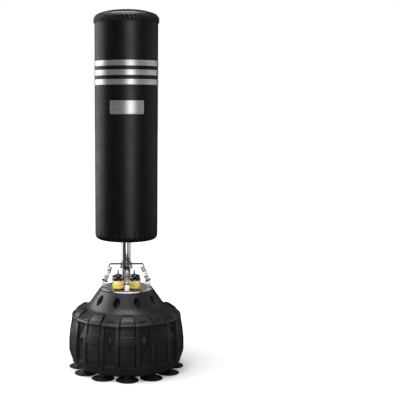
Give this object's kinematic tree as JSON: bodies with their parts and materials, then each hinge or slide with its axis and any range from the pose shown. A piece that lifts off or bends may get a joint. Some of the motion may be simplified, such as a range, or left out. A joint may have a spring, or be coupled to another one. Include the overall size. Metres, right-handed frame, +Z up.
{
  "type": "free standing boxing bag",
  "caption": "Padded cylindrical punch bag on a steel pole, with a sprung head of coil springs and TPU buffers on a moulded ballast base with suction cups.",
  "frame": {"origin": "centre of the base on the floor", "axes": "+Z up along the pole, -Y towards the front with the name patch, +X to the right seen from the front"},
  "size_m": [0.57, 0.57, 1.75],
  "materials": {
    "moulded_plastic": "satin",
    "ballast_water": "gloss",
    "black_rubber": "satin",
    "amber_tpu": "gloss",
    "chrome": "polished",
    "dark_chrome": "polished",
    "spring_steel": "satin",
    "white_plastic": "matte",
    "plywood": "matte",
    "foam": "matte",
    "textile_fill": "matte",
    "bag_leather": "satin",
    "silver_film": "satin"
  },
  "bodies": {
    "base": {"base_shell": "moulded_plastic", "ballast_water": "ballast_water", "base_plate": "chrome", "suction_cup_01": "black_rubber", "suction_cup_02": "black_rubber", "suction_cup_03": "black_rubber", "suction_cup_04": "black_rubber", "suction_cup_05": "black_rubber", "suction_cup_06": "black_rubber", "suction_cup_07": "black_rubber", "suction_cup_08": "black_rubber", "suction_cup_09": "black_rubber", "suction_cup_10": "black_rubber", "suction_cup_11": "black_rubber", "suction_cup_12": "black_rubber", "spring_bracket_1": "chrome", "spring_bracket_2": "chrome", "spring_bracket_3": "chrome", "spring_bracket_4": "chrome", "lower_spring_seat_1": "chrome", "lower_spring_seat_2": "chrome", "lower_spring_seat_3": "chrome", "lower_spring_seat_4": "chrome"},
    "spring_pack": {"tpu_buffer_1": "amber_tpu", "tpu_buffer_2": "amber_tpu", "tpu_buffer_3": "amber_tpu", "tpu_buffer_4": "amber_tpu", "coil_spring_1": "chrome", "coil_spring_2": "chrome", "coil_spring_3": "chrome", "coil_spring_4": "chrome"},
    "bag": {"head_plate": "dark_chrome", "spring_spider": "chrome", "buffer_cap_1": "dark_chrome", "buffer_cap_2": "dark_chrome", "buffer_cap_3": "dark_chrome", "buffer_cap_4": "dark_chrome", "upper_spring_seat_1": "chrome", "upper_spring_seat_2": "chrome", "upper_spring_seat_3": "chrome", "upper_spring_seat_4": "chrome", "inner_post": "chrome", "pole_tube": "chrome", "button_spring": "spring_steel", "pole_end_cap": "white_plastic", "bottom_board": "plywood", "core_liner": "white_plastic", "foam_core": "foam", "textile_fill": "textile_fill", "bag_cover": "bag_leather", "padded_top": "bag_leather", "rim_band": "bag_leather", "stripe_1": "silver_film", "stripe_2": "silver_film", "stripe_3": "silver_film", "name_patch": "silver_film"},
    "lock_button": {"lock_button": "chrome"},
    "filler_seal": {"filler_gasket": "black_rubber"},
    "filler_cap": {"filler_cap": "moulded_plastic"}
  },
  "joints": [
    {"name": "bag_tilt_side", "type": "hinge", "parent": "base", "child": "spring_pack", "pos_m": [0, 0, 0.4215], "axis": [0, 1, 0], "range_deg": [-9, 9], "stiffness_Nm_per_rad": 2500, "deforming": ["tpu_buffer_1", "tpu_buffer_2", "tpu_buffer_3", "tpu_buffer_4", "coil_spring_1", "coil_spring_2", "coil_spring_3", "coil_spring_4"]},
    {"name": "bag_tilt_fore_aft", "type": "hinge", "parent": "spring_pack", "child": "bag", "pos_m": [0, 0, 0.4215], "axis": [1, 0, 0], "range_deg": [-9, 9], "stiffness_Nm_per_rad": 2500, "deforming": ["tpu_buffer_1", "tpu_buffer_2", "tpu_buffer_3", "tpu_buffer_4", "coil_spring_1", "coil_spring_2", "coil_spring_3", "coil_spring_4"]},
    {"name": "lock_button_press", "type": "slide", "parent": "bag", "child": "lock_button", "axis": [0, 1, 0], "range_m": [0, 0.0055], "stiffness_N_per_m": 2000, "deforming": ["button_spring"]},
    {"name": "filler_cap_lift", "type": "slide", "parent": "base", "child": "filler_seal", "axis": [0, 0.7578, 0.6524], "range_m": [0, 0.0166]},
    {"name": "filler_cap_turn", "type": "hinge", "parent": "filler_seal", "child": "filler_cap", "pos_m": [0, 0.16, 0.346], "axis": [0, 0.7578, 0.6524], "range_deg": [0, 990]}
  ],
  "couplings": [
    {"joint": "filler_cap_lift", "follows": "filler_cap_turn", "m_per_rad": 0.00095493}
  ]
}
